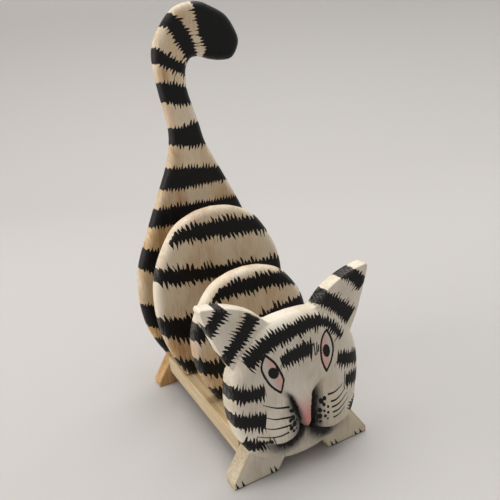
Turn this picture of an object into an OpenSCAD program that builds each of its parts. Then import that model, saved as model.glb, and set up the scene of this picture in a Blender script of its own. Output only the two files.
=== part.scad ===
// Painted wooden cat letter rack: four upright boards on a plank, with letters
// standing in the slots between them. The cat faces -Y, +Z is up, and the
// origin is on the ground, below the middle of the cat.

/* [Stock] */
// Thickness of the boards that the cat is sawn from
board_t = 16; // [14:0.5:19]
// How far a body board's face curls back at its rim
rim_depth = 6.5; // [4:0.5:6.5]
// How far that curl reaches in over a body board's face
rim_reach = 7; // [4:0.5:9]

/* [Letter slots] */
// Slot between the head board and the front panel
front_slot = 53; // [40:1:65]
// Slot between the two body panels
middle_slot = 41; // [32:1:52]
// Slot between the middle panel and the tail board
rear_slot = 34; // [28:1:44]

/* [Base plank] */
// Width of the plank that ties the boards together
plank_w = 99; // [90:1:102]
// Thickness of the plank
plank_t = 16; // [14:0.5:20]
// Height of the plank's underside above the ground
plank_lift = 15; // [13:0.5:18]
// Bevel along the plank's long upper edges
plank_bevel = 1.2; // [0.5:0.1:3]

/* [Paws] */
// Half the width over the outside of two paws
paw_out = 63; // [58:1:68]
// Half the gap between two paws at the ground
paw_in = 24; // [20:1:30]
// Height of a paw's upright outer edge
toe_h = 5; // [3:0.5:8]
// Half the width at the waist, where the paws meet the body
waist_w = 47.5; // [44:0.5:52]
// Height of the waist
waist_z = 28; // [24:0.5:32]
// Half the width of the arch under the belly
arch_w = 18; // [12:1:22]
// How far the edges of the paws are rounded
paw_roll = 1; // [0.5:0.25:2]
// Height of the arch at its sides
arch_z = 10; // [8:0.5:12]
// How far the arch sags at its middle
arch_sag = 2.5; // [0:0.5:4]

/* [Head] */
// Half the width over the cheeks
cheek_w = 58; // [54:1:62]
// Height of the fullest part of the cheeks
cheek_z = 71; // [66:1:76]
// Height of the crown between the ears
crown_z = 127; // [122:1:134]
// Thickness of the ears, which are carved thinner than the board
ear_t = 12; // [9:0.5:13]
// Distance of an ear's tip from the middle of the head
ear_tip_x = 72; // [66:1:78]
// Height of an ear's tip
ear_tip_z = 149.5; // [144:1:158]
// Width of an ear from its tip to its root on the crown
ear_w = 51; // [46:1:56]
// How far the brow stands out in front of the paws
brow_relief = 3; // [1:0.5:5]
// How far the face curls back around its edge
face_curl = 9; // [6:0.5:11]
// How far that curl reaches in over the face
face_reach = 17; // [12:1:20]

/* [Muzzle] */
// How far the muzzle stands out in front of the paws
muzzle_relief = 10; // [7:0.5:13]
// Radius of each whisker pad at its foot
pad_r = 24; // [20:1:26]
// Distance of each whisker pad from the middle
pad_x = 19; // [16:1:22]
// Height of the whisker pads
pad_z = 38; // [34:1:42]
// Half the width of the nose at its tip
nose_r = 5; // [3.5:0.5:6]
// Half the width of the bridge of the nose, where it leaves the brow
bridge_w = 16; // [12:1:20]
// Height of the nose's tip
nose_z = 39; // [34:1:44]
// Height where the bridge of the nose runs out into the brow
bridge_z = 68; // [62:1:76]

/* [Panels] */
// Height of the front panel
front_panel_h = 144.5; // [135:0.5:152]
// Half the width of the front panel
front_panel_w = 56; // [50:0.5:60]
// Height of the middle panel
middle_panel_h = 188.5; // [178:0.5:198]
// Half the width of the middle panel
middle_panel_w = 66.5; // [60:0.5:70]

/* [Tail board] */
// Half the width of the body on the tail board
haunch_w = 67.5; // [62:0.5:72]
// Half the width of the tail at its narrow part
tail_w = 13.5; // [11:0.5:16]
// Height of the narrow part of the tail, where the haunches have run out
tail_z = 262; // [256:1:270]
// How far the tail leans aside below its hook
tail_lean = 5; // [2:0.5:8]
// Height of the middle of the rounded tail tip
tip_z = 340; // [332:1:350]
// Distance of the middle of the tail tip from the cat's middle line
tip_x = 44.5; // [42:0.5:50]
// Radius of the rounded tail tip
tip_r = 22; // [20:0.5:24]

/* [Fasteners] */
// Diameter of the dowels between the plank and the end boards
dowel_d = 8; // [6:0.5:9]
// Length of a dowel
dowel_l = 30; // [24:1:40]
// How much of a dowel sits in an end board
dowel_in_board = 10; // [8:0.5:11]
// Distance of each dowel from the middle line
dowel_x = 30; // [26:1:36]
// Gap left around a dowel for glue
dowel_gap = 0.05; // [0.02:0.01:0.1]
// Diameter of a screw's shank
screw_d = 3.5; // [3:0.5:4.5]
// Length of a screw, head and all
screw_l = 40; // [34:1:50]
// Diameter of a screw's countersunk head
screw_head_d = 7; // [6:0.5:9]
// Height of that head
screw_head_h = 2.6; // [2:0.2:3.4]
// Distance of each screw from the middle line
screw_x = 22; // [16:1:28]
// Gap around a screw in its hole
screw_gap = 0.1; // [0.05:0.05:0.3]
// How far a screw head lies under the plank's surface
screw_sink = 0.5; // [0.2:0.1:1]

/* [Hidden] */

cream = "#d9c6a0";
pale_wood = "#dcc08a";
dowel_wood = "#c9a468";
steel = "#b9bdc2";

$fn = 48;

// Steps along one stretch of an outline, around a rolled rim and along the tail's tip
outline_steps = 5;
rim_steps = 4;
tip_steps = 2;
eps = 0.01;

// Faces of the boards along Y, from the muzzle to the back of the tail board
rack_length = front_slot + middle_slot + rear_slot + 4 * board_t;
paw_y = (muzzle_relief - rack_length) / 2;
head_back_y = paw_y + board_t;
front_panel_y = head_back_y + front_slot;
middle_panel_y = front_panel_y + board_t + middle_slot;
tail_face_y = middle_panel_y + board_t + rear_slot;
tail_back_y = tail_face_y + board_t;
plank_top = plank_lift + plank_t;
dowel_z = plank_lift + plank_t / 2;

// ---- Curves ---------------------------------------------------------------

// Point on a smooth curve from b to c, where a and d are the neighbours
function between(a, b, c, d, u) =
    (2 * b + (c - a) * u + (2 * a - 5 * b + 4 * c - d) * u * u
     + (3 * b - a - 3 * c + d) * u * u * u) / 2;

// Smooth curve through the points p, from the first to the last
function curve(p, steps = outline_steps) = [
    for (i = [0 : len(p) - 2])
        for (k = [0 : steps - 1])
            between(p[max(i - 1, 0)], p[i], p[i + 1], p[min(i + 2, len(p) - 1)], k / steps),
    p[len(p) - 1]
];

// The points p seen in a mirror at x = 0, in the opposite order
function mirrored(p) = [for (i = [len(p) - 1 : -1 : 0]) [-p[i].x, p[i].y]];

// A symmetrical outline as one loop, from the points of its right half
function both_sides(half) = concat(half, mirrored([for (q = half) if (q.x > 0) q]));

// Unit vector that points into the outline p at its point i
function inward(p, i) =
    let (n = len(p), t = p[(i + 1) % n] - p[(i + n - 1) % n])
    [-t.y, t.x] / norm(t);

// One and the same roll, [reach, depth], for every point of the outline p
function evenly(p, reach, depth) = [for (q = p) [reach, depth]];

// Ring of 3-D points on a rolled rim: the outline p at angle a of its roll, where
// the face lies at y, and side is 1 if the board lies behind it and -1 if before it
function ring(p, roll, a, y, side) = [
    for (i = [0 : len(p) - 1])
        let (q = p[i] + roll[i][0] * (1 - cos(a)) * inward(p, i))
        [q.x, y + side * roll[i][1] * (1 - sin(a)), q.y]
];

// ---- Boards ---------------------------------------------------------------

// Triangles between the rungs a to b of an outline of n points, where a rung
// joins point i, counted from the bottom, to its partner n - i on the other side
function rungs(n, a, b) = [
    for (i = [a : b - 1])
        each concat(
            i + 1 < n - i - 1 ? [[i, i + 1, n - i - 1]] : [],
            i > 0 ? [[i, n - i - 1, n - i]] : []
        )
];

// Triangles of one paw, all from the corner of the arch at point hub
function fan(hub, first, last) = [for (k = [first : last - 1]) [hub, k, k + 1]];

// Triangles over an outline: plain, or with paws between points arch and waist
function cap(n, arch, waist) = arch == waist ? rungs(n, 0, n / 2) : concat(
    rungs(n, 0, arch),
    [[arch, waist, n - waist], [arch, n - waist, n - arch]],
    fan(arch, arch + 1, waist),
    fan(n - arch, n - waist, n - arch - 1),
    rungs(n, waist, n / 2)
);

// Closed skin over a stack of rings, from the back ring to the front ring
module skin(rings, arch, waist) {
    n = len(rings[0]);
    last = (len(rings) - 1) * n;
    sides = [
        for (k = [0 : len(rings) - 2])
            for (i = [0 : n - 1])
                let (a = k * n + i, b = k * n + (i + 1) % n)
                each [[a, a + n, b], [b, a + n, b + n]]
    ];
    back = cap(n, arch, waist);
    front = [for (t = back) [last + t[2], last + t[1], last + t[0]]];
    polyhedron(points = [for (r = rings) each r], faces = concat(sides, back, front));
}

// Board with an outline in X and Z, flat faces and square edges
module slab(outline, y_front, y_back) {
    translate([0, y_back, 0])
        rotate([90, 0, 0])
            linear_extrude(y_back - y_front)
                polygon(outline);
}

// Board whose rims roll back from its faces, as front_roll and back_roll say.
// A board with paws gives the points where its arch ends and its waist lies.
module rolled_board(outline, y_front, y_back, front_roll, back_roll, arch = 0, waist = 0) {
    quarter = [for (k = [0 : rim_steps]) 90 * k / rim_steps];
    back_rim = [for (a = quarter) ring(outline, back_roll, 90 - a, y_back, -1)];
    front_rim = [for (a = quarter) ring(outline, front_roll, a, y_front, 1)];
    skin(concat(back_rim, front_rim), arch, waist);
}

// ---- Outlines -------------------------------------------------------------

// Right half of the arch and the paw beside it, up to the waist
right_arch = curve([
    [0, arch_z - arch_sag],
    [arch_w * 0.6, arch_z - arch_sag * 0.7],
    [arch_w, arch_z]
]);
right_paw = concat(
    right_arch,
    [
        [paw_in, 0],
        [paw_out, 0],
        [paw_out, toe_h],
        [waist_w, waist_z]
    ]
);
left_paw = mirrored([for (q = right_paw) if (q.x > 0) q]);

// The face without its ears: round above, full at the cheeks, narrow at the chin
face = both_sides(curve([
    [0, arch_z - arch_sag + 1],
    [arch_w, arch_z + 1],
    [waist_w * 0.75, waist_z * 0.66],
    [waist_w + 1, waist_z + 2],
    [cheek_w * 0.95, cheek_z * 0.64],
    [cheek_w, cheek_z],
    [cheek_w * 0.93, cheek_z + (crown_z - cheek_z) * 0.42],
    [cheek_w * 0.71, cheek_z + (crown_z - cheek_z) * 0.76],
    [cheek_w * 0.36, cheek_z + (crown_z - cheek_z) * 0.96],
    [0, crown_z]
]));

// How far an ear rises above the crown
ear_rise = ear_tip_z - crown_z;
// One ear, from its root on the cheek over its tip to its root on the crown
ear = concat(
    [[0, cheek_z]],
    curve([
        [cheek_w * 0.9, cheek_z + (crown_z - cheek_z) * 0.45],
        [ear_tip_x - ear_w * 0.235, ear_tip_z - ear_rise * 1.69],
        [ear_tip_x - ear_w * 0.06, ear_tip_z - ear_rise * 0.58],
        [ear_tip_x, ear_tip_z - ear_rise * 0.09]
    ]),
    curve([
        [ear_tip_x - ear_w * 0.03, ear_tip_z],
        [ear_tip_x - ear_w * 0.315, ear_tip_z - ear_rise * 0.11],
        [ear_tip_x - ear_w * 0.59, ear_tip_z - ear_rise * 0.33],
        [ear_tip_x - ear_w * 0.825, ear_tip_z - ear_rise * 0.645],
        [ear_tip_x - ear_w, crown_z - 1]
    ]),
    [[0, crown_z - 3]]
);

// A body panel: an egg, fullest below its middle, cut off at the plank
function panel(w, h) = both_sides(curve([
    [0, plank_top * 0.4],
    [w * 0.45, plank_top * 0.55],
    [w * 0.7, plank_top],
    [w * 0.93, plank_top + (h - plank_top) * 0.24],
    [w, plank_top + (h - plank_top) * 0.47],
    [w * 0.92, plank_top + (h - plank_top) * 0.69],
    [w * 0.63, plank_top + (h - plank_top) * 0.9],
    [w * 0.3, plank_top + (h - plank_top) * 0.98],
    [0, h]
]));

// Height on the haunches, from 0 at the waist to 1 at the narrow part of the tail
function up(share) = waist_z + (tail_z - waist_z) * share;

// Point of the hook, from the middle of the tail's tip, in radii of that tip
function hook(x, z) = [tip_x + tip_r * x, tip_z + tip_r * z];

// Right edge of the haunches, from the waist up to their fullest part and beyond
haunch = [
    [haunch_w * 0.77, up(0.043)],
    [haunch_w * 0.86, up(0.094)],
    [haunch_w * 0.97, up(0.192)],
    [haunch_w, up(0.308)],
    [haunch_w * 0.94, up(0.436)]
];

// Right edge of the haunches and tail, up to the underside of the tail's tip.
// Each point faces the point of the left edge that lies across the tail from it.
right_edge = curve(concat(haunch, [
    [haunch_w * 0.82, up(0.59)],
    [haunch_w * 0.66, up(0.7)],
    [haunch_w * 0.42, up(0.846)],
    [tail_w * 1.52, up(0.919)],
    [tail_w * 1.2, up(1)],
    [tail_w * 1.1 - tail_lean, hook(0, -2.45).y],
    [tail_w - tail_lean, hook(0, -1.91).y],
    [tail_w * 1.1 - tail_lean, hook(0, -1.32).y],
    hook(-1.3, -0.93),
    hook(-0.86, -0.865),
    hook(-0.36, -1),
    hook(0, -1.06)
]));

// Left edge of the tail and haunches, from the top of the hook down to the waist
left_edge = curve(concat(
    [
        hook(-0.48, 1.25),
        hook(-0.95, 1.3),
        hook(-1.77, 1.08),
        hook(-2.45, 0.39),
        hook(-2.9, -0.45),
        hook(-2.95, -1.27),
        [-tail_w - tail_lean * 0.9, hook(0, -2.32).y],
        [-tail_w * 1.03, up(1)],
        [-tail_w * 1.12, up(0.919)],
        [-haunch_w * 0.32, up(0.829)],
        [-haunch_w * 0.525, up(0.705)],
        [-haunch_w * 0.74, up(0.573)]
    ],
    mirrored(haunch)
));

// The tail's tip: a blunt end from its underside to its top
tip_end = curve([
    hook(0, -1.06),
    hook(0.64, -1),
    hook(1.03, -0.38),
    hook(0.86, 0.24),
    hook(0.43, 0.81),
    hook(-0.48, 1.25)
], tip_steps);
tip = [for (i = [1 : len(tip_end) - 2]) tip_end[i]];
haunches_and_tail = concat(right_edge, tip, left_edge);

// The tail board: nearly square edges on the paws, and rolled rims above them
tail_outline = concat(right_paw, haunches_and_tail, left_paw);
tail_roll = concat(
    evenly(right_paw, paw_roll, paw_roll),
    evenly(haunches_and_tail, rim_reach, rim_depth),
    evenly(left_paw, paw_roll, paw_roll)
);

// ---- Fasteners ------------------------------------------------------------

// Blind round hole along Y that starts at y and runs towards dir
module dowel_hole(x, y, dir, depth) {
    translate([x, y, dowel_z])
        rotate([-90 * dir, 0, 0])
            translate([0, 0, -eps])
                cylinder(d = dowel_d + 2 * dowel_gap, h = depth + dowel_gap + eps);
}

// Glued dowel along Y whose middle part crosses the joint at y_joint
module dowel(x, y_joint, dir) {
    chamfer = dowel_d / 8;
    translate([x, y_joint - dir * dowel_in_board, dowel_z])
        rotate([-90 * dir, 0, 0]) {
            cylinder(d1 = dowel_d - 2 * chamfer, d2 = dowel_d, h = chamfer);
            translate([0, 0, chamfer])
                cylinder(d = dowel_d, h = dowel_l - 2 * chamfer);
            translate([0, 0, dowel_l - chamfer])
                cylinder(d1 = dowel_d, d2 = dowel_d - 2 * chamfer, h = chamfer);
        }
}

// Countersunk wood screw that points up, with a cross recess in its head
module screw(x, y) {
    tip_l = screw_d * 1.4;
    slot_w = screw_d * 0.25;
    slot_l = screw_head_d * 0.55;
    slot_d = screw_head_h * 0.5;
    translate([x, y, plank_lift + screw_sink])
        difference() {
            union() {
                cylinder(d1 = screw_head_d, d2 = screw_d, h = screw_head_h);
                cylinder(d = screw_d, h = screw_l - tip_l);
                translate([0, 0, screw_l - tip_l])
                    cylinder(d1 = screw_d, d2 = screw_d * 0.15, h = tip_l);
            }
            for (turn = [0, 90])
                rotate([0, 0, turn])
                    translate([-slot_l / 2, -slot_w / 2, -eps])
                        cube([slot_l, slot_w, slot_d]);
        }
}

// Hole for a screw through the plank, countersunk from below
module screw_way(x, y) {
    translate([x, y, plank_lift - eps])
        cylinder(d = screw_head_d + 2 * screw_gap, h = screw_sink + 2 * eps);
    translate([x, y, plank_lift + screw_sink])
        cylinder(
            d1 = screw_head_d + 2 * screw_gap,
            d2 = screw_d + 2 * screw_gap,
            h = screw_head_h
        );
    translate([x, y, plank_lift])
        cylinder(d = screw_d + 2 * screw_gap, h = plank_t + eps);
}

// Pilot hole for a screw, up into the foot of a panel
module pilot(x, y) {
    translate([x, y, plank_top - eps])
        cylinder(
            d = screw_d + 2 * screw_gap,
            h = plank_lift + screw_sink + screw_l + screw_gap - plank_top + eps
        );
}

// ---- Pieces ---------------------------------------------------------------

// Low round swelling on the face, with its middle at x, z
module pad(x, z, r, y_foot, y_top) {
    height = y_foot - y_top;
    ball_r = (r * r + height * height) / (2 * height);
    intersection() {
        translate([x, y_top + ball_r, z])
            sphere(r = ball_r);
        translate([x, y_foot, z])
            rotate([90, 0, 0])
                cylinder(r = r, h = height + eps);
    }
}

// Head, ears, chin and forelegs, carved from one board
module front_board() {
    brow_y = paw_y - brow_relief;
    muzzle_y = paw_y - muzzle_relief;
    pad_root = 2;
    // Where the paws' board ends inside the head
    paw_root = [[waist_w - 4, waist_z + 14]];
    color(cream)
        difference() {
            union() {
                rolled_board(
                    face,
                    brow_y,
                    head_back_y,
                    evenly(face, face_reach, face_curl),
                    evenly(face, paw_roll, paw_roll)
                );
                slab(ear, head_back_y - ear_t, head_back_y);
                slab(mirrored(ear), head_back_y - ear_t, head_back_y);
                slab(concat(right_paw, paw_root, mirrored(paw_root), left_paw), paw_y, head_back_y);
                for (side = [-1, 1])
                    pad(side * pad_x, pad_z, pad_r, paw_y + pad_root, muzzle_y);
                hull() {
                    for (side = [-1, 1])
                        translate([side * (bridge_w - nose_r), brow_y + nose_r - 1, bridge_z])
                            sphere(r = nose_r, $fn = 20);
                    translate([0, muzzle_y + nose_r, nose_z + nose_r])
                        sphere(r = nose_r, $fn = 20);
                    translate([0, paw_y + nose_r, nose_z])
                        sphere(r = nose_r, $fn = 20);
                }
            }
            for (side = [-1, 1])
                dowel_hole(side * dowel_x, head_back_y, -1, dowel_in_board);
        }
}

// Body panel of half-width w and height h, cut flat where it stands on the plank
module body_panel(w, h, y_front) {
    outline = panel(w, h);
    roll = evenly(outline, rim_reach, rim_depth);
    color(cream)
        difference() {
            rolled_board(outline, y_front, y_front + board_t, roll, roll);
            translate([-w, y_front - board_t, plank_top - 2 * h])
                cube([2 * w, 3 * board_t, 2 * h]);
            for (side = [-1, 1])
                pilot(side * screw_x, y_front + board_t / 2);
        }
}

module front_panel() {
    body_panel(front_panel_w, front_panel_h, front_panel_y);
}

module middle_panel() {
    body_panel(middle_panel_w, middle_panel_h, middle_panel_y);
}

// Hind legs, haunches and tail, sawn from one board
module rear_board() {
    color(cream)
        difference() {
            rolled_board(
                tail_outline,
                tail_face_y,
                tail_back_y,
                tail_roll,
                tail_roll,
                arch = len(right_arch) - 1,
                waist = len(right_paw) - 1
            );
            for (side = [-1, 1])
                dowel_hole(side * dowel_x, tail_face_y, 1, dowel_in_board);
        }
}

// Plank between the end boards, with its upper long edges bevelled
module base_plank() {
    profile = [
        [-plank_w / 2, plank_lift],
        [plank_w / 2, plank_lift],
        [plank_w / 2, plank_top - plank_bevel],
        [plank_w / 2 - plank_bevel, plank_top],
        [plank_bevel - plank_w / 2, plank_top],
        [-plank_w / 2, plank_top - plank_bevel]
    ];
    dowel_in_plank = dowel_l - dowel_in_board;
    color(pale_wood)
        difference() {
            slab(profile, head_back_y, tail_face_y);
            for (side = [-1, 1]) {
                dowel_hole(side * dowel_x, head_back_y, 1, dowel_in_plank);
                dowel_hole(side * dowel_x, tail_face_y, -1, dowel_in_plank);
                for (y = [front_panel_y, middle_panel_y])
                    screw_way(side * screw_x, y + board_t / 2);
            }
        }
}

// Left and right are as seen from the front, so left pieces have x < 0
module front_dowel_left() color(dowel_wood) dowel(-dowel_x, head_back_y, 1);
module front_dowel_right() color(dowel_wood) dowel(dowel_x, head_back_y, 1);
module rear_dowel_left() color(dowel_wood) dowel(-dowel_x, tail_face_y, -1);
module rear_dowel_right() color(dowel_wood) dowel(dowel_x, tail_face_y, -1);

module front_panel_screw_left() color(steel) screw(-screw_x, front_panel_y + board_t / 2);
module front_panel_screw_right() color(steel) screw(screw_x, front_panel_y + board_t / 2);
module middle_panel_screw_left() color(steel) screw(-screw_x, middle_panel_y + board_t / 2);
module middle_panel_screw_right() color(steel) screw(screw_x, middle_panel_y + board_t / 2);

front_board();
front_panel();
middle_panel();
rear_board();
base_plank();
front_dowel_left();
front_dowel_right();
rear_dowel_left();
rear_dowel_right();
front_panel_screw_left();
front_panel_screw_right();
middle_panel_screw_left();
middle_panel_screw_right();
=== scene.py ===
"""Looks of a painted wooden cat letter rack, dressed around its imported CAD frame.

The cat is sawn and carved from four boards on a plank. Every length in this file is in
millimetres, in the frame of the part: the cat faces -Y and +Z is up.
"""

import logging
import math
from dataclasses import dataclass, field
from enum import Enum

import bpy
import numpy as np
from mathutils import Matrix, Vector
from mathutils.geometry import delaunay_2d_cdt


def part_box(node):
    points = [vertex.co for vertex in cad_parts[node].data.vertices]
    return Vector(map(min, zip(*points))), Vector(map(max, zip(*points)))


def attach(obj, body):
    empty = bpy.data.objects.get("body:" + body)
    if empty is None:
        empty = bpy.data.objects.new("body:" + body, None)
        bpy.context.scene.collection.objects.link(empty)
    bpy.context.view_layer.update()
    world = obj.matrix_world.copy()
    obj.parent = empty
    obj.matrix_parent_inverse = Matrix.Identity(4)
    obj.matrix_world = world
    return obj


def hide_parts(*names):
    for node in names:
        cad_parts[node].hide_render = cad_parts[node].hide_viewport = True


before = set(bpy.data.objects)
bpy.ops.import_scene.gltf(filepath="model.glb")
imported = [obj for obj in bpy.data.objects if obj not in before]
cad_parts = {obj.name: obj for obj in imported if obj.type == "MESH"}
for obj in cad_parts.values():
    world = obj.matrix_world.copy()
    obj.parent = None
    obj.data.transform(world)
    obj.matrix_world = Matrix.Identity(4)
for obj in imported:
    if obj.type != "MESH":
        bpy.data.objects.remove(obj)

Tree = bpy.types.NodeTree
Socket = bpy.types.NodeSocket
MM = 0.001
# A mark's value where it is nowhere near
FAR = -99.0
log = logging.getLogger("cat_rack")


# ---- Plane geometry ---------------------------------------------------------


def curve(points: list, steps: int = 5) -> np.ndarray:
    """Draws a smooth curve through points.

    Args:
        points: the points (x, z) that it passes.
        steps: how many points each stretch gets.

    Returns:
        The points of the curve, one row each.
    """
    p = np.array(points, float)
    rows = []
    for i in range(len(p) - 1):
        a, b, c, d = p[max(i - 1, 0)], p[i], p[i + 1], p[min(i + 2, len(p) - 1)]
        for k in range(steps):
            u = k / steps
            rows.append((2 * b + (c - a) * u + (2 * a - 5 * b + 4 * c - d) * u * u
                         + (3 * b - a - 3 * c + d) * u ** 3) / 2)
    return np.array(rows + [p[-1]])


def mirrored(points: np.ndarray) -> np.ndarray:
    """Returns the points seen in a mirror at x = 0, in the opposite order."""
    return np.array(points, float)[::-1] * [-1, 1]


def both_sides(half: np.ndarray) -> np.ndarray:
    """Returns a symmetrical outline as one loop, from the points of its right half."""
    return np.vstack([half, mirrored(half[half[:, 0] > 0])])


def length_of(path: np.ndarray) -> float:
    """Returns the length of a path."""
    return np.linalg.norm(np.diff(path, axis=0), axis=1).sum()


def to_segments(points: np.ndarray, path: np.ndarray, closed: bool) -> tuple:
    """Measures how points lie to a path.

    Args:
        points: the points to measure, one row each.
        path: the corners of the path.
        closed: whether the path is a loop.

    Returns:
        For each point its distance to the path, the length along the path to the nearest
        place on it, and on which side of it the point lies (positive on the left).
    """
    a = path
    b = np.roll(path, -1, axis=0)
    if not closed:
        a, b = path[:-1], path[1:]
    along = b - a
    length = np.linalg.norm(along, axis=1)
    start = np.concatenate([[0], np.cumsum(length)[:-1]])
    offset = points[:, None, :] - a[None]
    t = np.clip((offset * along).sum(2) / np.maximum(length ** 2, 1e-12), 0, 1)
    gap = offset - t[..., None] * along
    distance = np.linalg.norm(gap, axis=2)
    best = distance.argmin(1)
    row = np.arange(len(points))
    side = along[best, 0] * offset[row, best, 1] - along[best, 1] * offset[row, best, 0]
    return distance[row, best], (start + t * length)[row, best], side


def inside_by(points: np.ndarray, outline: np.ndarray) -> np.ndarray:
    """Measures how deep points lie in a closed outline.

    Args:
        points: the points to measure, one row each.
        outline: the corners of the outline.

    Returns:
        For each point its distance to the outline, negative outside.
    """
    distance = to_segments(points, outline, True)[0]
    a, b = outline, np.roll(outline, -1, axis=0)
    x, z = points[:, :1], points[:, 1:]
    crosses = (a[:, 1] > z) != (b[:, 1] > z)
    rise = np.where(np.abs(b[:, 1] - a[:, 1]) < 1e-9, 1e-9, b[:, 1] - a[:, 1])
    left_of = x < (b[:, 0] - a[:, 0]) * (z - a[:, 1]) / rise + a[:, 0]
    odd = (crosses & left_of).sum(1) % 2 == 1
    return np.where(odd, distance, -distance)


def along_stroke(points: np.ndarray, path: np.ndarray) -> tuple:
    """Measures how points lie to a brush stroke that runs on straight past its ends.

    Args:
        points: the points to measure, one row each.
        path: the stroke's middle line.

    Returns:
        For each point its distance to the line (positive on the left), the length along
        the line, and how far it lies before the nearer end (negative beyond it).
    """
    run_on = 15.0
    first, last = path[0] - path[1], path[-1] - path[-2]
    longer = np.vstack([path[0] + run_on * first / np.linalg.norm(first), path,
                        path[-1] + run_on * last / np.linalg.norm(last)])
    distance, at, side = to_segments(points, longer, False)
    at = at - run_on
    return distance * np.sign(side), at, np.minimum(at, length_of(path) - at)


def resampled(outline: np.ndarray, pitch: float) -> np.ndarray:
    """Divides the sides of a closed outline.

    Args:
        outline: the corners, all of which are kept.
        pitch: the longest side that is left.

    Returns:
        The corners and the points between them.
    """
    rows = []
    for a, b in zip(outline, np.roll(outline, -1, axis=0)):
        count = max(1, int(math.ceil(np.linalg.norm(b - a) / pitch)))
        rows += [a + (b - a) * k / count for k in range(count)]
    return np.array(rows)


def smooth_step(value: np.ndarray, low: float, high: float) -> np.ndarray:
    """Returns 0 below low and 1 above high, with a smooth rise between them."""
    t = np.clip((value - low) / (high - low), 0, 1)
    return t * t * (3 - 2 * t)


def rolled(distance: np.ndarray, reach: np.ndarray, depth: np.ndarray) -> np.ndarray:
    """Returns how far a face has curled back at a distance from its rim."""
    t = np.clip(1 - distance / reach, 0, 1)
    return depth * (1 - np.sqrt(1 - t * t))


def swell(points: np.ndarray, x: float, z: float, rx: float, rz: float) -> np.ndarray:
    """Returns a round swelling of height 1 about (x, z) that ends at radii rx and rz."""
    r = np.hypot((points[:, 0] - x) / rx, (points[:, 1] - z) / rz)
    return np.cos(np.clip(r, 0, 1) * math.pi / 2) ** 1.3


# ---- Colour and shader helpers ----------------------------------------------


def linear(code: str) -> tuple:
    """Returns the linear RGBA colour of an sRGB hex code."""
    channels = [int(code[i:i + 2], 16) / 255 for i in (1, 3, 5)]
    return tuple(c / 12.92 if c <= 0.04045 else ((c + 0.055) / 1.055) ** 2.4
                 for c in channels) + (1.0,)


SMOOTH = {"interpolation_type": "SMOOTHSTEP"}
COLOURS = {"data_type": "RGBA", "out": 2}


def feed(tree: Tree, node: bpy.types.Node, links: dict | tuple) -> None:
    """Sets inputs of a node.

    Args:
        tree: the node tree.
        node: the node.
        links: for each input, by name or number, a value or the socket that feeds it.
    """
    for key, value in links.items() if isinstance(links, dict) else enumerate(links):
        if isinstance(value, Socket):
            tree.links.new(value, node.inputs[key])
        else:
            node.inputs[key].default_value = value


def add(tree: Tree, kind: str, links: dict | tuple = (), out: int | str = 0,
        **settings) -> Socket:
    """Adds one node to a tree.

    Args:
        tree: the node tree.
        kind: the node's type, without the words that all shader nodes start with.
        links: what feeds its inputs, as in feed.
        out: the wanted output, by name or number.
        settings: the node's own settings.

    Returns:
        The node's wanted output.
    """
    node = tree.nodes.new("ShaderNode" + kind)
    for name, value in settings.items():
        setattr(node, name, value)
    feed(tree, node, links)
    return node.outputs[out]


def streaks(tree: Tree, place: Socket, sizes_mm: tuple, detail: float = 3.0) -> Socket:
    """Draws fibres, brush marks or patches as stretched noise.

    Args:
        tree: the node tree.
        place: the place on the object, in metres.
        sizes_mm: how long the marks are along x, y and z.
        detail: how many finer layers they have.

    Returns:
        The noise, with its values about 0.5.
    """
    scaled = add(tree, "Mapping", {0: place, 3: [1 / (size * MM) for size in sizes_mm]})
    return add(tree, "TexNoise", {"Vector": scaled, "Scale": 1.0, "Detail": detail,
                                  "Roughness": 0.6})


def new_material(name: str) -> tuple:
    """Makes a new material.

    Args:
        name: the material's name.

    Returns:
        The material, its node tree and its shader.
    """
    mat = bpy.data.materials.new(name)
    mat.use_nodes = True
    return mat, mat.node_tree, mat.node_tree.nodes["Principled BSDF"]


# ---- Finishes -----------------------------------------------------------------


class Grain(Enum):
    """Which way the wood's fibres run."""

    UP = "up"
    LENGTHWISE = "lengthwise"


@dataclass(frozen=True)
class BareWood:
    """Pale softwood, sawn, sanded and left bare but for a thin clear wash.

    Its fibres show as fine streaks along the board, with darker late wood between broad
    pale bands.
    """

    name: str = "albesia_wood_sanded_painted_shade"
    # These colours are a little darker than the bare wood, as painted shade for the boards' shadow
    # on the plank's top
    pale: str = "#D3C19F"
    dark: str = "#B5986D"
    grain: Grain = Grain.LENGTHWISE
    # Fibres are about 1.5 mm across and 60 mm long, ring bands 12 mm across
    fibre_mm: tuple = (1.5, 60.0)
    ring_mm: tuple = (12.0, 400.0)

    def tone(self, tree: Tree, place: Socket) -> tuple:
        """Draws the wood's colour.

        Args:
            tree: the node tree.
            place: the place on the object.

        Returns:
            The colour, and the fibres' fine height.
        """
        axis = {Grain.LENGTHWISE: 1, Grain.UP: 2}[self.grain]
        fibres, rings = [
            streaks(tree, place, tuple(long if k == axis else wide for k in range(3)))
            for wide, long in (self.fibre_mm, self.ring_mm)]
        bands = add(tree, "Math", (rings, 0.6), operation="MULTIPLY")
        dark = add(tree, "Math", (fibres, 0.5, bands), operation="MULTIPLY_ADD")
        dark = add(tree, "MapRange", (dark, 0.4, 0.72), **SMOOTH)
        return add(tree, "Mix", {0: dark, 6: linear(self.pale), 7: linear(self.dark)},
                   **COLOURS), fibres

    def material(self) -> bpy.types.Material:
        """Makes the material.

        Returns:
            The wood's material.
        """
        mat, tree, shader = new_material(self.name)
        colour, fibres = self.tone(tree, add(tree, "TexCoord", out="Object"))
        bump = add(tree, "Bump", {"Height": fibres, "Strength": 0.25, "Distance": 0.0004})
        feed(tree, shader, {"Base Color": colour, "Normal": bump, "Roughness": 0.55})
        return mat


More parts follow.
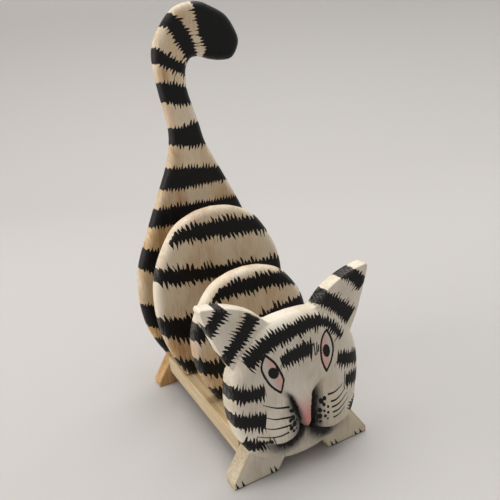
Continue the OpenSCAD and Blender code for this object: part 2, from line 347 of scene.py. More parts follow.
@dataclass(frozen=True)
class TurnedWood:
    """Ramin dowel rod, turned smooth: an even straw colour with fine long pores."""

    name: str = "ramin_dowel_turned"
    pale: str = "#D2B27A"
    dark: str = "#B48F58"
    # Pores are about 0.6 mm across and 15 mm long
    pore_mm: tuple = (0.6, 15.0, 0.6)

    def material(self) -> bpy.types.Material:
        """Makes the material.

        Returns:
            The dowels' material.
        """
        mat, tree, shader = new_material(self.name)
        pores = streaks(tree, add(tree, "TexCoord", out="Object"), self.pore_mm)
        dark = add(tree, "MapRange", (pores, 0.4, 0.7), **SMOOTH)
        colour = add(tree, "Mix", {0: dark, 6: linear(self.pale), 7: linear(self.dark)},
                     **COLOURS)
        feed(tree, shader, {"Base Color": colour, "Roughness": 0.5})
        return mat


@dataclass(frozen=True)
class ScrewSteel:
    """Zinc-plated steel, cold-headed and rolled: a cool grey with a faint mottle."""

    name: str = "zinc_plated_steel"
    bright: str = "#B9BDC2"
    dull: str = "#9A9D9F"
    # The plating's crystals are under 1 mm; they are drawn 1 mm wide so that they show
    crystal_mm: tuple = (1.0, 1.0, 1.0)

    def material(self) -> bpy.types.Material:
        """Makes the material.

        Returns:
            The screws' material.
        """
        mat, tree, shader = new_material(self.name)
        mottle = streaks(tree, add(tree, "TexCoord", out="Object"), self.crystal_mm)
        colour = add(tree, "Mix", {0: mottle, 6: linear(self.bright), 7: linear(self.dull)},
                     **COLOURS)
        rough = add(tree, "MapRange", (mottle, 0.3, 0.7, 0.3, 0.45), **SMOOTH)
        feed(tree, shader, {"Base Color": colour, "Roughness": rough, "Metallic": 1.0})
        return mat


@dataclass(frozen=True)
class Surface:
    """What the layers of a paint share: the node tree, and what varies over the piece.

    Its marks are the mesh's own values by name, in mm or as shares.
    """

    tree: Tree
    place: Socket
    brush: Socket
    marks: dict


@dataclass(frozen=True)
class BrushedPaint:
    """Matt poster paint brushed by hand on carved softwood, then waxed.

    The cream coat is thin, so that the tan wood warms it in patches and along the fibres.
    The black coat is laid on in short strokes, which leave teeth along each stripe. On the
    rims the brush ran dry, so that black breaks into grey streaks; the cream is whiter there,
    partly as whiter paint and partly as a painted highlight.
    """

    name: str
    cream: str = "#E1CFB2"
    wood: str = "#CDA671"
    wood_dark: str = "#AC8150"
    black: str = "#050506"
    dry_black: str = "#75706A"
    # The rims' white is partly whiter paint and partly a painted highlight
    rim_white_and_highlight: str = "#EFE5D2"
    # How far the teeth reach, how wide a tooth is at its foot, and how far it leans aside
    tooth_mm: float = 7.0
    tooth_pitch_mm: float = 4.0
    lean: float = 0.2
    # Brush marks are 1 mm across and 12 mm long; patches of thin paint are 35 mm across
    brush_mm: tuple = (1.0, 3.0, 12.0)
    patch_mm: tuple = (35.0, 35.0, 60.0)
    thin_share: float = 0.62
    dry_share: float = 0.5
    marks: tuple = ("rim", "ink", "across", "along", "bare")

    def teeth(self, on: Surface) -> Socket:
        """Draws the teeth that single brush strokes leave along a stripe.

        Two rows of pointed teeth are added up, a broad one and a fine one. Noise gives
        each tooth its own height, and sways and leans them a little.

        Args:
            on: the surface.

        Returns:
            How far the black coat reaches past the stripe's middle edge, in mm.
        """
        tree, across, along = on.tree, on.marks["across"], on.marks["along"]
        place = add(tree, "CombineXYZ", (across, along))
        slow = add(tree, "Mapping", {0: place, 3: (0.25 / self.tooth_pitch_mm, 0.05, 1)})
        sway = add(tree, "TexNoise", {"Vector": slow, "Scale": 1.0, "Detail": 1.0})
        total = -0.5 * self.tooth_mm
        for share, step, at in ((0.85, self.tooth_pitch_mm, 0.0),
                                (0.35, self.tooth_pitch_mm * 0.43, 7.0)):
            turn = add(tree, "Math", (along, self.lean / step, at), operation="MULTIPLY_ADD")
            turn = add(tree, "Math", (sway, 1.6 * self.tooth_pitch_mm / step, turn),
                       operation="MULTIPLY_ADD")
            turn = add(tree, "Math", (across, 1 / step, turn), operation="MULTIPLY_ADD")
            number = add(tree, "Math", (turn,), operation="FLOOR")
            number = add(tree, "Math", (number, 1.73), operation="MULTIPLY")
            row = add(tree, "Math", (along, 0.07), operation="MULTIPLY")
            spot = add(tree, "CombineXYZ", (number, row, at))
            chance = add(tree, "TexNoise", {"Vector": spot, "Scale": 1.0, "Detail": 0.0})
            height = add(tree, "MapRange", (chance, 0.3, 0.7, 1.0, 2.9), **SMOOTH)
            wave = add(tree, "Math", (turn, 0.5), operation="PINGPONG")
            tooth = add(tree, "Math", (wave, height), operation="MULTIPLY")
            total = add(tree, "Math", (tooth, self.tooth_mm * share, total),
                        operation="MULTIPLY_ADD")
        return total

    def coat(self, on: Surface) -> Socket:
        """Draws the cream coat, thin in patches and whiter along the rims, partly as a painted
        highlight.

        Args:
            on: the surface.

        Returns:
            The coat's colour.
        """
        tree = on.tree
        raw = BareWood(pale=self.wood, dark=self.wood_dark, grain=Grain.UP)
        wood, _ = raw.tone(tree, on.place)
        patch = streaks(tree, on.place, self.patch_mm)
        thin = add(tree, "Math", (on.brush, 0.4, patch), operation="MULTIPLY_ADD")
        thin = add(tree, "MapRange", (thin, 0.52, 0.9, 0.0, self.thin_share), **SMOOTH)
        # Where the coat has worn off, single brush marks hold a little more of it
        worn = add(tree, "MapRange", (on.brush, 0.25, 0.75, 0.85, 1.1), **SMOOTH)
        thin = add(tree, "Math", (on.marks["bare"], worn, thin), operation="MULTIPLY_ADD",
                   use_clamp=True)
        # Whiter paint and a painted highlight along the rims fade out over 10 mm from the rim
        whiter_and_lit = add(tree, "MapRange", (on.marks["rim"], 1.0, 11.0, 0.75, 0.0), **SMOOTH)
        cream = add(tree, "Mix", {0: whiter_and_lit, 6: linear(self.cream), 7: linear(self.rim_white_and_highlight)},
                    **COLOURS)
        return add(tree, "Mix", {0: thin, 6: cream, 7: wood}, **COLOURS)

    def stripes(self, on: Surface, colour: Socket) -> Socket:
        """Lays the black stripes over a coat.

        Args:
            on: the surface.
            colour: the coat's colour.

        Returns:
            The colour with the stripes on it.
        """
        tree, brush, rim = on.tree, on.brush, on.marks["rim"]
        # Teeth shorten towards the rim, where the edge frays more instead
        full = add(tree, "MapRange", (rim, 0.0, 6.0, 0.3, 1.0), **SMOOTH)
        reach = add(tree, "Math", (self.teeth(on), full, on.marks["ink"]),
                    operation="MULTIPLY_ADD")
        ragged = add(tree, "MapRange", (rim, 0.0, 5.0, 3.0, 1.6), **SMOOTH)
        offset = add(tree, "Math", (brush, 0.5), operation="SUBTRACT")
        reach = add(tree, "Math", (offset, ragged, reach), operation="MULTIPLY_ADD")
        mask = add(tree, "MapRange", (reach, -0.3, 0.3), **SMOOTH)
        # The dry brush leaves grey streaks within 4.5 mm of the rim
        dry = add(tree, "MapRange", (rim, 0.0, 4.5, self.dry_share, 0.02), **SMOOTH)
        streak = add(tree, "MapRange", (brush, 0.42, 0.62), **SMOOTH)
        grey = add(tree, "Math", (dry, streak), operation="MULTIPLY")
        black = add(tree, "Mix", {0: grey, 6: linear(self.black), 7: linear(self.dry_black)},
                    **COLOURS)
        return add(tree, "Mix", {0: mask, 6: colour, 7: black}, **COLOURS)

    def material(self) -> bpy.types.Material:
        """Makes the material.

        Returns:
            The painted wood's material.
        """
        mat, tree, shader = new_material(self.name)
        place = add(tree, "TexCoord", out="Object")
        brush = streaks(tree, place, self.brush_mm)
        on = Surface(tree, place, brush, {
            name: add(tree, "Attribute", out="Fac", attribute_name=name)
            for name in self.marks})
        colour = self.stripes(on, self.shade(on, self.coat(on)))
        rough = add(tree, "MapRange", (brush, 0.3, 0.7, 0.4, 0.58), **SMOOTH)
        # The gouge left flats about 11 mm wide under the paint
        flats = streaks(tree, place, (11.0, 11.0, 11.0), 2.0)
        height = add(tree, "Math", (flats, 3.0, brush), operation="MULTIPLY_ADD")
        bump = add(tree, "Bump", {"Height": height, "Strength": 0.3, "Distance": 0.0004})
        feed(tree, shader, {"Base Color": self.details(on, colour), "Roughness": rough,
                            "Specular IOR Level": 0.22, "Normal": bump})
        return mat

    def shade(self, on: Surface, colour: Socket) -> Socket:
        """Returns the coat's colour under any soft shading painted below the stripes."""
        return colour

    def details(self, on: Surface, colour: Socket) -> Socket:
        """Returns the colour with what is painted over the stripes."""
        return colour


@dataclass(frozen=True)
class FacePaint(BrushedPaint):
    """The same paint on the head, where a fine brush has added eyes, nose and whiskers.

    The cream is whiter here and the nose is pink. Thin black is smoked into the grooves and
    under the pads, partly as paint and partly as painted shade.
    """

    name: str = "poster_paint_brushed_face"
    cream: str = "#DDD4C6"
    wood: str = "#C9B896"
    wood_dark: str = "#AA9674"
    pink: str = "#CE8A86"
    eye_pink: str = "#D9AEA2"
    eye_white: str = "#CFC9BE"
    # The black of the smoke, and of the shade painted in the grooves and under the pads
    smoke_and_shade: str = "#171513"
    tooth_mm: float = 5.2
    tooth_pitch_mm: float = 2.6
    lean: float = 0.12
    thin_share: float = 0.5
    marks: tuple = BrushedPaint.marks + ("nose", "smoke_and_shade", "eye", "blush", "line")

    def shade(self, on: Surface, colour: Socket) -> Socket:
        """Adds the pink nose, and the black smoke and painted shade in the grooves and under the
        pads.

        Args:
            on: the surface.
            colour: the coat's colour.

        Returns:
            The shaded colour.
        """
        tree = on.tree
        colour = add(tree, "Mix", {0: on.marks["nose"], 6: colour, 7: linear(self.pink)},
                     **COLOURS)
        # The thin black of the smoke and the painted shade lies unevenly along the brush marks
        smoke_and_shade = add(tree, "Math", (on.brush, 0.5, on.marks["smoke_and_shade"]), operation="MULTIPLY_ADD")
        smoke_and_shade = add(tree, "MapRange", (smoke_and_shade, 0.32, 1.15))
        return add(tree, "Mix", {0: smoke_and_shade, 6: colour, 7: linear(self.smoke_and_shade)}, **COLOURS)

    def details(self, on: Surface, colour: Socket) -> Socket:
        """Draws the eyes, whiskers, dots and claws over the colour.

        Args:
            on: the surface.
            colour: the painted colour below them.

        Returns:
            The finished colour.
        """
        tree = on.tree
        pink = add(tree, "MapRange", (on.marks["blush"], -1.0, 1.0), **SMOOTH)
        ball = add(tree, "Mix", {0: pink, 6: linear(self.eye_white), 7: linear(self.eye_pink)},
                   **COLOURS)
        inside = add(tree, "MapRange", (on.marks["eye"], -0.2, 0.2), **SMOOTH)
        colour = add(tree, "Mix", {0: inside, 6: colour, 7: ball}, **COLOURS)
        drawn = add(tree, "MapRange", (on.marks["line"], -0.2, 0.2), **SMOOTH)
        return add(tree, "Mix", {0: drawn, 6: colour, 7: linear(self.black)}, **COLOURS)


# ---- Pieces -----------------------------------------------------------------


@dataclass
class CarvedBoard:
    """A board with a carved front, a rolled rim and paint on all sides."""

    node: str
    finish: BrushedPaint
    slot: str
    pitch: float = 2.2
    insets: tuple = (0.35, 0.9, 1.7, 2.8, 4.2, 5.8, 7.6)
    y_front: float = field(init=False)
    y_back: float = field(init=False)

    def __post_init__(self) -> None:
        """Takes the board's two faces from its CAD node."""
        low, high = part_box(self.node)
        self.y_front, self.y_back = low.y / MM, high.y / MM

    def outline(self) -> np.ndarray:
        """Returns the board's outline, counter-clockwise as it is seen from the front."""
        raise NotImplementedError

    def roll(self, points: np.ndarray) -> tuple:
        """Returns how far the rims reach in and how deep they curl at the points."""
        reach = np.full(len(points), 7.0)
        return reach, reach * 0.93

    def front(self, points: np.ndarray, rim: np.ndarray) -> np.ndarray:
        """Returns y of the front face at the points."""
        return self.y_front + rolled(rim, *self.roll(points))

    def back(self, points: np.ndarray, rim: np.ndarray) -> np.ndarray:
        """Returns y of the back face at the points."""
        return self.y_back - rolled(rim, *self.roll(points))

    def marks(self, points: np.ndarray) -> dict:
        """Returns the painted marks as one number per point: ink, across and along."""
        raise NotImplementedError

    def back_marks(self, count: int) -> dict:
        """Returns the marks that differ on the back, for a number of points."""
        return {}

    def extra_points(self) -> np.ndarray:
        """Returns points that the mesh must have, for lines thinner than its pitch."""
        return np.empty((0, 2))

    def plan(self) -> tuple:
        """Covers the outline with triangles.

        Returns:
            The points, the triangles as rows of three numbers, and how many of the
            points, the first ones, lie on the outline.
        """
        ring_slack = 0.08  # A ring's point is left out where another rim is this much nearer
        grid_clear = 0.45  # Grid points keep this share of the pitch from extra points
        edge = resampled(self.outline(), self.pitch)
        tangent = np.roll(edge, -1, axis=0) - np.roll(edge, 1, axis=0)
        inward = np.stack([-tangent[:, 1], tangent[:, 0]], 1)
        inward /= np.linalg.norm(inward, axis=1)[:, None]
        rows = [self.extra_points()]
        for inset in self.insets:
            ring = edge + inward * inset
            rows.append(ring[np.abs(inside_by(ring, edge) - inset) < ring_slack])
        low, high = edge.min(0), edge.max(0)
        step = self.pitch * math.sqrt(3) / 2
        grid = []
        for k in range(int((high[1] - low[1]) / step) + 2):
            x = np.arange(low[0], high[0] + self.pitch, self.pitch) + (k % 2) * self.pitch / 2
            grid.append(np.stack([x, np.full(len(x), low[1] + k * step)], 1))
        grid = np.vstack(grid)
        grid = grid[inside_by(grid, edge) > self.insets[-1] + self.pitch * 0.5]
        extra = rows[0]
        if len(extra):
            near = np.concatenate([
                np.linalg.norm(part[:, None] - extra[None], axis=2).min(1)
                for part in np.array_split(grid, 20)])
            grid = grid[near > self.pitch * grid_clear]
        inner = np.vstack(rows + [grid])
        count = len(edge)
        found = delaunay_2d_cdt(
            [Vector(p) for p in np.vstack([edge, inner])],
            [(i, (i + 1) % count) for i in range(count)], [], 1, 1e-4, True)
        points, triangles = np.array([tuple(p) for p in found[0]]), np.array(found[2])
        inside = inside_by(points[triangles].mean(1), edge) > 0
        return points, triangles[inside], count

    def build(self) -> bpy.types.Object:
        """Makes the board, dresses it and lets it stand for its CAD node.

        Returns:
            The board's object.
        """
        points, triangles, count = self.plan()
        rim = np.maximum(inside_by(points, self.outline()), 0)
        rim[:count] = 0
        total = len(points)
        sheets = [np.stack([points[:, 0], y, points[:, 1]], 1)
                  for y in (self.front(points, rim), self.back(points, rim))]
        edge = np.arange(count)
        after = (edge + 1) % count
        wall = np.stack([edge, edge + total, after + total, after], 1)
        faces = triangles.tolist() + (triangles[:, ::-1] + total).tolist() + wall.tolist()
        mesh = bpy.data.meshes.new(self.node + "_painted")
        mesh.from_pydata((np.vstack(sheets) * MM).tolist(), [], faces)
        mesh.validate()
        front = {**self.marks(points), "rim": rim}
        back = {**front, **self.back_marks(total)}
        for name, values in front.items():
            layer = mesh.attributes.new(name, "FLOAT", "POINT")
            both = np.concatenate([values, back[name]])
            layer.data.foreach_set("value", both.astype(np.float32))
        mesh.shade_smooth()
        piece = bpy.data.objects.new(self.node + "_painted", mesh)
        bpy.context.scene.collection.objects.link(piece)
        mesh.materials.append(self.finish.material())
        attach(piece, "root")
        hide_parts(self.node)
        return piece


def feet(waist: tuple) -> np.ndarray:
    """Returns the right half of a board's arch and the paw beside it, up to the waist."""
    arch = curve([[0, 7.5], [10.8, 8.25], [18, 10]])
    return np.vstack([arch, [[24, 0], [63, 0], [63, 5], waist]])


def striped(points: np.ndarray, stripes: list) -> np.ndarray:
    """Returns how far each point lies inside the nearest stripe; outside is negative."""
    return np.max([inside_by(points, np.array(s, float)) for s in stripes], axis=0)


@dataclass
class BodyPanel(CarvedBoard):
    """An egg-shaped body panel that stands on the plank between the letter slots."""

    stripes: list = field(default_factory=list)
    foot: float = 31.0
    # Above this height, stripes end this far short of the left rim
    short_above: float = 148.0
    short_by: float = 1.5

    def outline(self) -> np.ndarray:
        """Draws the egg, cut flat at the plank.

        Returns:
            The outline.
        """
        low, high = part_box(self.node)
        w, h, foot = high.x / MM, high.z / MM, self.foot
        k = h - foot
        half = curve([
            [0, foot * 0.4], [w * 0.45, foot * 0.55], [w * 0.7, foot],
            [w * 0.93, foot + k * 0.24], [w, foot + k * 0.47], [w * 0.92, foot + k * 0.69],
            [w * 0.63, foot + k * 0.9], [w * 0.3, foot + k * 0.98], [0, h]], 8)
        above = half[half[:, 1] > foot + 0.3]
        return both_sides(np.vstack([[[w * 0.7, foot]], above]))

    def marks(self, points: np.ndarray) -> dict:
        """Lays the panel's stripes, brushed up and down, and turns the coat warmer and darker
        towards its foot.

        Args:
            points: the points to paint.

        Returns:
            The marks' values at the points.
        """
        ink = striped(points, self.stripes)
        short = (points[:, 1] > self.short_above) & (points[:, 0] < 0)
        # The ends are steeper than the sides, so that teeth hardly reach past them
        end = 4 * (inside_by(points, self.outline()) - self.short_by)
        ink = np.where(short, np.minimum(ink, end), ink)
        # The coat turns warmer and darker towards the foot
        return {"ink": ink, "across": points[:, 0].copy(),
                "along": points[:, 1].copy(),
                "bare": 0.6 * (1 - smooth_step(points[:, 1], 40, 105))}


@dataclass
class TailBoard(CarvedBoard):
    """Hind legs, haunches and hooked tail, sawn from one board."""

    stripes: list = field(default_factory=list)
    haunch_w: float = 67.5
    tail_w: float = 13.5
    tail_z: float = 262.0
    lean: float = 5.0
    waist: tuple = (47.5, 28.0)
    tip: tuple = (44.5, 340.0)
    tip_r: float = 22.0
    stripe_grow: float = 0.9

    def outline(self) -> np.ndarray:
        """Draws legs, haunches and tail.

        Returns:
            The outline.
        """
        w, t, lean = self.haunch_w, self.tail_w, self.lean

        def up(share: float) -> float:
            """Returns a height between the waist (0) and the narrow part of the tail (1)."""
            return self.waist[1] + (self.tail_z - self.waist[1]) * share

        def hook(x: float, z: float) -> list:
            """Returns a point that lies x and z tip radii from the middle of the tip."""
            return [self.tip[0] + self.tip_r * x, self.tip[1] + self.tip_r * z]

        haunch = np.array([[w * 0.77, up(0.043)], [w * 0.86, up(0.094)], [w * 0.97, up(0.192)],
                           [w, up(0.308)], [w * 0.94, up(0.436)]])
        right = curve(haunch.tolist() + [
            [w * 0.82, up(0.59)], [w * 0.66, up(0.7)], [w * 0.42, up(0.846)],
            [t * 1.52, up(0.919)], [t * 1.2, up(1)], [t * 1.1 - lean, hook(0, -2.45)[1]],
            [t - lean, hook(0, -1.91)[1]], [t * 1.1 - lean, hook(0, -1.32)[1]],
            hook(-1.3, -0.93), hook(-0.86, -0.865), hook(-0.36, -1), hook(0, -1.06)])
        end = curve([hook(0, -1.06), hook(0.64, -1), hook(1.03, -0.38), hook(0.86, 0.24),
                     hook(0.43, 0.81), hook(-0.48, 1.25)])[1:-1]
        left = curve([
            hook(-0.48, 1.25), hook(-0.95, 1.3), hook(-1.77, 1.08), hook(-2.45, 0.39),
            hook(-2.9, -0.45), hook(-2.95, -1.27), [-t - lean * 0.9, hook(0, -2.32)[1]],
            [-t * 1.03, up(1)], [-t * 1.12, up(0.919)], [-w * 0.32, up(0.829)],
            [-w * 0.525, up(0.705)], [-w * 0.74, up(0.573)]] + mirrored(haunch).tolist())
        paw = feet(self.waist)
        return np.vstack([paw, right, end, left, mirrored(paw[paw[:, 0] > 0])])

    def roll(self, points: np.ndarray) -> tuple:
        """Returns a broad roll on the body and a narrow one on the legs."""
        reach = 1 + 6 * smooth_step(points[:, 1], 24, 36)
        return reach, reach * 0.93

    def marks(self, points: np.ndarray) -> dict:
        """Lays the stripes, brushed along the tail.

        Args:
            points: the points to paint.

        Returns:
            The marks' values at the points.
        """
        spine = curve([[0, 0], [0, 240], [-4, 285], [-3, 308], [7, 325], [25, 332], [45, 333],
                       [75, 328]])
        distance, along, side = to_segments(points, spine, False)
        across = distance * np.sign(side)
        x, z = points[:, 0], points[:, 1]
        # One side of the tail is stained, and the legs are bare
        stain = 0.55 * smooth_step(across, 3, 12) * smooth_step(z, 90, 180)
        stain *= 1 - smooth_step(z, 300, 325)
        bare = np.maximum(1 - smooth_step(z, 34, 40), 0.55 * (1 - smooth_step(z, 50, 150)))
        ink = striped(points, self.stripes) + self.stripe_grow
        return {"ink": ink, "across": across, "along": along, "bare": np.maximum(bare, stain)}


@dataclass
class HeadBoard(CarvedBoard):
    """Head, ears, chin and forelegs, carved in relief from one board."""

    pitch: float = 1.25
    cheek: tuple = (58.0, 71.0)
    crown_z: float = 127.0
    ear_tip: tuple = (72.0, 149.5)
    ear_t: float = 12.0
    paw_t: float = 16.0
    brow_t: float = 19.0
    muzzle_t: float = 26.0
    waist: tuple = (47.5, 28.0)
    eye_line: float = 0.9

    def face(self) -> np.ndarray:
        """Draws the face without its ears.

        Returns:
            The outline.
        """
        (w, z), top = self.cheek, self.crown_z
        k = top - z
        return both_sides(curve([
            [0, 8.5], [18, 11], [35.6, 18.5], [48.5, 30], [w * 0.95, z * 0.64], [w, z],
            [w * 0.93, z + k * 0.42], [w * 0.71, z + k * 0.76], [w * 0.36, z + k * 0.96],
            [0, top]], 8))

    def ear(self) -> tuple:
        """Draws the right ear.

        Returns:
            Its outer edge, upwards, and its inner edge, down to the crown.
        """
        (w, z), (x, top) = self.cheek, self.ear_tip
        outer = curve([[w * 0.9, z + (self.crown_z - z) * 0.45], [x - 12, top - 38],
                       [x - 3, top - 13], [x, top - 2]])
        inner = curve([[x - 1.5, top], [x - 16, top - 2.5], [x - 30, top - 7.5],
                       [x - 42, top - 14.5], [x - 51, self.crown_z - 1]])
        return outer, inner

    def outline(self) -> np.ndarray:
        """Draws the whole board: paws, cheeks, ears and crown.

        Returns:
            The outline.
        """
        face = self.face()
        half = face[: len(face) // 2 + 1]
        outer, inner = self.ear()
        cheek = half[(half[:, 1] > 34) & (half[:, 1] < outer[0, 1] - 1)]
        crown = half[(half[:, 1] > inner[-1, 1] - 1) & (half[:, 0] < inner[-1, 0] - 1)]
        return both_sides(np.vstack([feet(self.waist), cheek, outer, inner, crown]))

    def relief(self, points: np.ndarray) -> np.ndarray:
        """Carves the front: a domed face with pads and nose, between thinner ears and paws.

        Args:
            points: the points to measure.

        Returns:
            How far the carving stands in front of the board's back.
        """
        x, z = points[:, 0], points[:, 1]
        in_face = inside_by(points, self.face())
        # The face curls back 9 mm over 17 mm at its rim, and less at the chin
        chin = 1 - smooth_step(z, 20, 48)
        middle = 1 - smooth_step(np.abs(x), 12, 24)
        dome = self.brow_t - rolled(np.maximum(in_face, 0), 17 - 9 * chin + 6 * chin * middle,
                                    9 - 6.5 * chin + 3.5 * chin * middle)
        under = np.where(z < 40, self.paw_t - 1, self.ear_t)
        depth = np.where(in_face > 0, dome, under)
        depth = np.maximum(depth, self.ear_t * smooth_step(z, 84, 96))
        # Two whisker pads swell beside the nose, whose ridge widens into the brow
        pads = np.maximum(swell(points, -19, 38, 27, 24), swell(points, 19, 36, 27, 24))
        depth = depth + 7.5 * pads * smooth_step(in_face, 0, 8)
        bridge = np.interp(z, [36, 38, 42, 55, 68, 78], [4, 6.4, 6.8, 4.6, 1.4, -1])
        ridge = self.brow_t + bridge - 2.4 * np.maximum(np.abs(x) - self.nose_half(z), 0)
        ridge = ridge - 3 * np.maximum(37 - 0.35 * x - z, 0)
        depth = np.maximum(depth, np.where(z < 77, ridge, 0))
        for path, deep, wide in self.grooves():
            distance = to_segments(points, path, False)[0]
            depth = depth - deep * np.exp(-(distance / wide) ** 2)
        return np.minimum(depth, self.muzzle_t)

    def nose_half(self, z: np.ndarray) -> np.ndarray:
        """Returns half the width of the nose's ridge at heights z."""
        return np.interp(z, [36, 42, 52, 62, 70, 78], [2.2, 2.4, 3.7, 6.6, 12.5, 20])

    def grooves(self) -> list:
        """Places the carved grooves: two beside the nose, then two under the pads.

        Returns:
            For each groove its path, depth and half-width.
        """
        return [
            (curve([[-15, 68], [-9.5, 63], [-6, 54], [-4.4, 45], [-4.6, 36]]), 3, 2.2),
            (curve([[18.5, 66], [11.5, 59.5], [7, 51], [5.2, 43], [5, 35]]), 3, 2.2),
            (curve([[-3.6, 38.5], [-8, 33], [-15, 29.4], [-26, 28.8], [-39, 33.5]]), 4.2, 2.4),
            (curve([[4, 37.5], [8.5, 31.5], [15, 26.8], [24, 23.6], [36, 22.6]]), 4.2, 2.4),
        ]

    def front(self, points: np.ndarray, rim: np.ndarray) -> np.ndarray:
        """Returns y of the carved front, with the board's edge rounded a little."""
        return self.y_back - self.relief(points) + rolled(rim, 0.9, 0.8)

    def back(self, points: np.ndarray, rim: np.ndarray) -> np.ndarray:
        """Returns y of the flat back, with its edge rounded a little."""
        return self.y_back - rolled(rim, 0.9, 0.8)

    def strokes(self) -> list:
        """Places the toothed strokes.

        Returns:
            For each stroke its middle line and its half-widths along it.
        """
        return [
            (curve([[-43, 101.5], [-33, 108], [-23, 113], [-8, 116], [6, 117.5],
                    [15.5, 117.5], [24, 115], [31, 109.5], [39, 98.5]]),
             (5.2, 5.8, 5.5, 5.2, 4.0, 3.0)),
            (curve([[-16.5, 95.5], [-7, 97], [3, 98], [11.5, 97]]), (5.0, 6.0, 6.4, 5.8)),
            (curve([[-54.5, 146], [-61.5, 138.5], [-70, 130]]), (5, 4.8)),
            (curve([[-32.5, 134.5], [-40.5, 123.5], [-52, 112], [-59.5, 104.5]]), (6.2, 5.2)),
            (curve([[48, 148], [58, 142], [66, 133]]), (5.2, 6.2)),
            (curve([[21.5, 135.5], [36.5, 125.5], [53.5, 109.5]]), (5.8, 6.8)),
            (curve([[-61.5, 84], [-52, 79.5], [-42, 77], [-32, 77]]), (4.8, 5.8, 5.2)),
            (curve([[-60, 59.5], [-50, 56.5], [-41, 54.5], [-34, 52.5]]), (5.6, 6.2, 6.2)),
            (curve([[-52, 37], [-42, 34], [-31, 35.5]]), (4.6, 4.4, 2.8)),
            (curve([[34, 81.5], [44, 78], [57, 75]]), (5.4, 6.2)),
            (curve([[40.5, 60], [58, 57.5]]), (5.2, 6)),
            (curve([[45, 30], [54, 38]]), (4.2, 5.2)),
        ]

    def eyes(self) -> list:
        """Draws the eyes.

        Returns:
            For each eye its outline, its pupil's middle and radii, and which way, from
            where and at what slant it turns pink.
        """
        left = curve([[-29, 105], [-21.5, 95.5], [-16, 82], [-16.5, 77], [-18.5, 70.5]], 6)
        left_out = curve([[-18.5, 70.5], [-26.5, 79.5], [-32, 91.5], [-32.5, 98], [-29, 105]],
                         6)
        right = curve([[25, 108.5], [28.5, 100.5], [30, 91], [27.5, 81.5], [23, 74]], 6)
        right_in = curve([[23, 74], [19.5, 84.5], [19, 96], [21.5, 104.5], [25, 108.5]],
                         6)
        return [
            (np.vstack([left, left_out[1:-1]])[::-1], (-23.6, 88.7), (4.4, 4.7), (1, 0.42, 0.35)),
            (np.vstack([right, right_in[1:-1]])[::-1], (23.9, 91.4), (3.3, 5.6), (-1, 0.55, -0.1)),
        ]

    def lines(self) -> list:
        """Draws the whiskers, the strokes by the brow, the claws and the soles' dark rims.

        Returns:
            For each thin line its path and its half-widths at its two ends.
        """
        whiskers = [
            [[-34.5, 66], [-25, 60], [-13.5, 57]],
            [[-33, 55], [-27.5, 52.5], [-21, 51.5], [-13.5, 50]],
            [[-36.5, 48], [-30, 46], [-22.5, 45.5], [-16, 45]],
            [[-41.5, 42], [-33.5, 40], [-27.5, 39.5], [-18.5, 40]],
            [[37.5, 58], [35, 55.5], [29, 54], [22, 54.5]],
            [[40, 52.5], [35.5, 50], [28.5, 48.5], [23, 49]],
            [[41.5, 48], [35, 45.5], [28.5, 44.5], [22.5, 45]],
            [[42, 43.5], [35, 41.5], [28.5, 40.5], [22.5, 41]],
            [[36.5, 38.5], [28.5, 36.5], [22.5, 36.5]]]
        strokes = [
            [[13, 101], [13.5, 91]], [[15.5, 101], [15, 91]], [[17, 98.5], [16.5, 93]]]
        claws = [
            [[-61.5, 5.5], [-60, 0.5]], [[-56.5, 6], [-55, 0.5]], [[-31.5, 6.5], [-30, 0.5]],
            [[-28, 6.5], [-26, 0.5]], [[26, 5.5], [28, 0.5]], [[30.5, 5.5], [32, 0.5]],
            [[50.5, 5], [52.5, 0.5]], [[56, 5], [57.5, 0.5]]]
        soles = [[[-62, 0], [-25, 0]], [[25, 0], [62, 0]]]
        return ([(curve(w, 6), (0.3, 0.75)) for w in whiskers]
                + [(np.array(s, float), (0.5, 0.5)) for s in strokes]
                + [(np.array(c, float), (0.25, 1.1)) for c in claws]
                + [(np.array(s, float), (0.7, 0.7)) for s in soles])

    def dots(self) -> list:
        """Places the dots between nose and whiskers.

        Returns:
            For each dot its middle and radius.
        """
        return [
            ((-13, 54), 1.3), ((-11, 53.5), 1.5), ((-9, 50.5), 0.9), ((-12.5, 49), 1.9),
            ((-15.5, 48), 1.5), ((-10, 46.5), 1), ((-12.5, 44.5), 2.2), ((-16, 42.5), 1.9),
            ((-14, 39.5), 1.4), ((-11.5, 40.5), 0.9), ((14.5, 52), 2.1), ((18, 53), 1.7),
            ((16, 49), 1.5), ((19, 46.5), 1.2), ((11.5, 46), 1.9), ((15, 44.5), 1.1),
            ((18, 42.5), 1.2), ((10.5, 41.5), 2.1), ((15, 40.5), 1.4), ((17, 37.5), 1),
            ((10.5, 37), 1.3)]

    def extra_points(self) -> np.ndarray:
        """Places points along the thin lines, the dots and the eyes' rims.

        Returns:
            The points, none of them too near the rim or one another.
        """
        beside, apart, from_rim = 0.9, 0.35, 0.6
        rows = []
        for path, _ in self.lines():
            for a, b in zip(path[:-1], path[1:]):
                side = np.array([a[1] - b[1], b[0] - a[0]]) / np.linalg.norm(b - a)
                for t in np.arange(0, 1, 1.0 / np.linalg.norm(b - a)):
                    rows += [a + t * (b - a) + s * side for s in (-beside, 0, beside)]
        for middle, radius in self.dots():
            turn = np.radians(np.arange(0, 360, 45))
            ring = np.stack([np.cos(turn), np.sin(turn)], 1)
            rows += [np.array(middle)] + list(np.array(middle) + ring * (radius + 0.15))
        for path, *_ in self.eyes():
            rows += list(resampled(path, beside))
        rows = np.array(rows)
        rows = rows[inside_by(rows, self.outline()) > from_rim]
        keep = []
        for row in rows:
            if all(abs(row[0] - k[0]) + abs(row[1] - k[1]) > apart for k in keep):
                keep.append(row)
        return np.array(keep)

